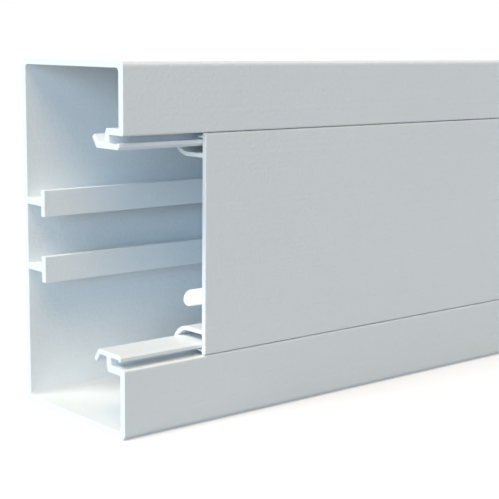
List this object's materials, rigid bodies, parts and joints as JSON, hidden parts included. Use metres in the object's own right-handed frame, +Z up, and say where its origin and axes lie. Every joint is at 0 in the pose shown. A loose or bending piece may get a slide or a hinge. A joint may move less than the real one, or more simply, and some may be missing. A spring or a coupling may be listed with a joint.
{
  "type": "cable trunking with clip-on cover",
  "caption": "Wall trunking for cables and sockets: a deep white open-front channel with mounting rails and fixing slots, closed by a clip-on cover that slides along it.",
  "frame": {"origin": "middle of the channel's lower face, at half its length and half its depth", "axes": "+X along the trunking, away from the end where the channel shows past the cover; -Y out of the open front; +Y to the wall; +Z up"},
  "size_m": [2.035, 0.065, 0.13],
  "materials": {
    "channel_pvc": "white rigid PVC, extruded, satin",
    "cover_pvc": "white rigid PVC, extruded, satin"
  },
  "bodies": {
    "base": {"base_channel": "channel_pvc"},
    "cover": {"clip_cover": "cover_pvc"}
  },
  "joints": [
    {"name": "cover_slide", "type": "slide", "parent": "base", "child": "cover", "axis": [1, 0, 0], "range_m": [-0.035, 0.965]}
  ]
}
